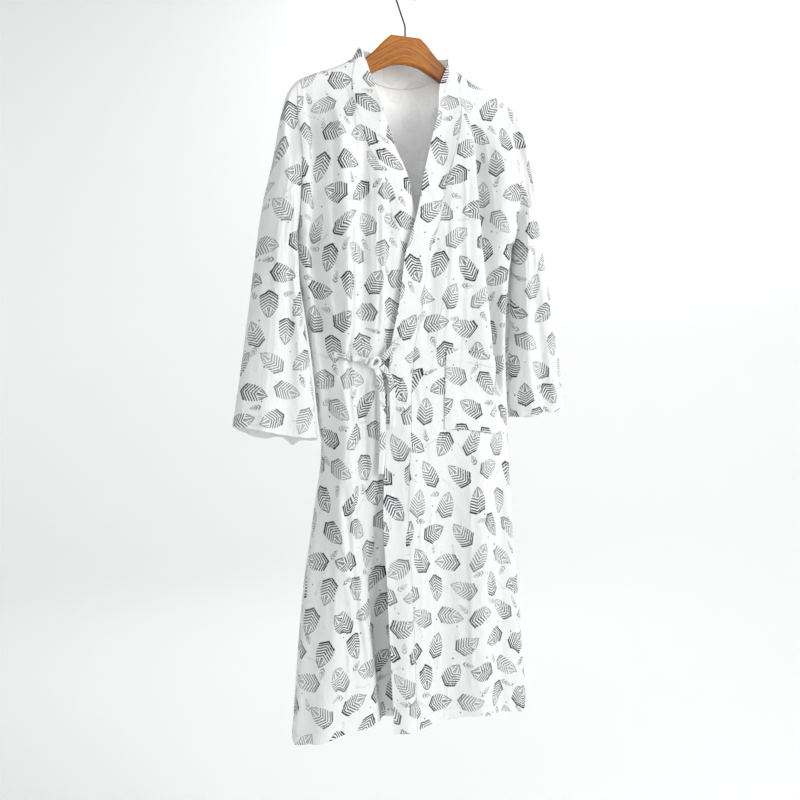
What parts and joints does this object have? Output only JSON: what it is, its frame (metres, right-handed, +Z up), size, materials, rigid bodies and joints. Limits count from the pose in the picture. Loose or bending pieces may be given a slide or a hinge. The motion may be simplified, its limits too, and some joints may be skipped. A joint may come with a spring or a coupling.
{
  "type": "kimono robe on a wooden hanger",
  "caption": "Long open-front kimono robe of leaf-printed cotton with a neck band, hip pocket and side tie, hanging on a flat wooden hanger with a wire hook.",
  "frame": {"origin": "inside top of the wire hook, where the rail or peg holds it", "axes": "+Z up, along the robe's length; +X to the viewer's right; the robe's front faces -Y"},
  "size_m": [0.65, 0.1672, 1.3751],
  "materials": {
    "printed_cotton": "white crinkled cotton gauze with a charcoal grey leaf print, soft and matt",
    "printed_tie": "narrow tie of the same printed cotton, pressed flat",
    "varnished_wood": "warm brown wood under satin varnish, grain showing",
    "dark_wire": "black satin wire"
  },
  "bodies": {
    "root": {"back_panel": "printed_cotton", "right_front": "printed_cotton", "left_front": "printed_cotton", "right_sleeve": "printed_cotton", "left_sleeve": "printed_cotton", "collar_band": "printed_cotton", "patch_pocket": "printed_cotton", "side_tie": "printed_tie", "front_tie": "printed_tie", "tie_knot": "printed_tie", "tie_end_short": "printed_tie", "tie_end_long": "printed_tie", "hanger_wood": "varnished_wood", "hanger_hook": "dark_wire"}
  },
  "joints": []
}
